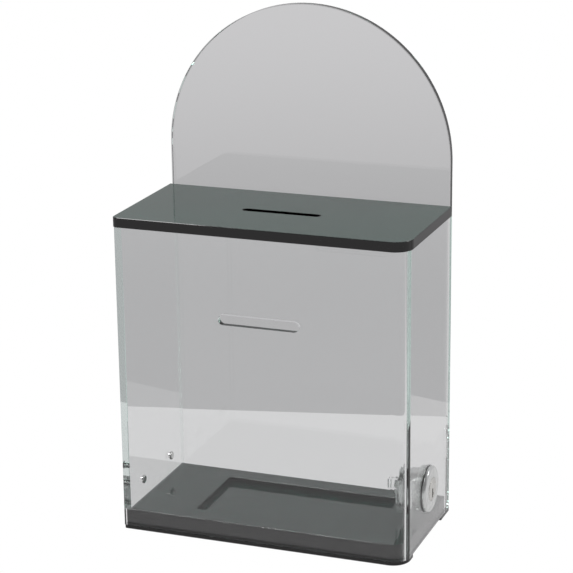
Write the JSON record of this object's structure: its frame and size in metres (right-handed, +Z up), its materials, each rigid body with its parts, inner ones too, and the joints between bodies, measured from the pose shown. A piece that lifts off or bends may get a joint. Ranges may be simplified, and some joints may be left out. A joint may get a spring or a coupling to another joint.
{
  "type": "donation box",
  "caption": "Clear acrylic donation box with black top and base, money slots, an arched header sheet and a side cam lock; the cover tips up off its base to empty it.",
  "frame": {"origin": "on the surface the box stands on, under the middle of its 150 x 75 mm body", "axes": "+X to the right of someone facing the front slot (the lock side), +Y to the back (the header side), +Z up"},
  "size_m": [0.153, 0.076, 0.2615],
  "materials": {
    "black_acrylic": "glossy black acrylic sheet, polished edges",
    "clear_acrylic": "clear acrylic sheet, polished",
    "bright_steel": "turned bright steel pin",
    "lock_chrome": "chrome-plated die casting",
    "plug_nickel": "nickel-plated, lightly brushed",
    "zinc_steel": "zinc-plated pressed steel"
  },
  "bodies": {
    "base": {"base_plate": "black_acrylic", "base_block": "black_acrylic", "base_frame": "black_acrylic", "keeper_post": "clear_acrylic", "keeper_lip": "clear_acrylic"},
    "cover": {"front_side_panel": "clear_acrylic", "left_panel": "clear_acrylic", "back_panel": "clear_acrylic", "top_plate": "black_acrylic", "wall_pin_front": "bright_steel", "wall_pin_rear": "bright_steel", "lock_housing": "lock_chrome", "lock_washer": "zinc_steel", "lock_nut": "zinc_steel"},
    "key_plug": {"lock_plug": "plug_nickel", "stop_washer": "zinc_steel", "cam": "zinc_steel", "cam_washer": "zinc_steel", "cam_screw": "zinc_steel"}
  },
  "joints": [
    {"name": "cover_tilt", "type": "hinge", "parent": "base", "child": "cover", "pos_m": [-0.075, 0, 0.00205], "axis": [0, -1, 0], "range_deg": [0, 25]},
    {"name": "key_turn", "type": "hinge", "parent": "cover", "child": "key_plug", "pos_m": [0.077, 0.0015, 0.0265], "axis": [-1, 0, 0], "range_deg": [0, 180]}
  ]
}
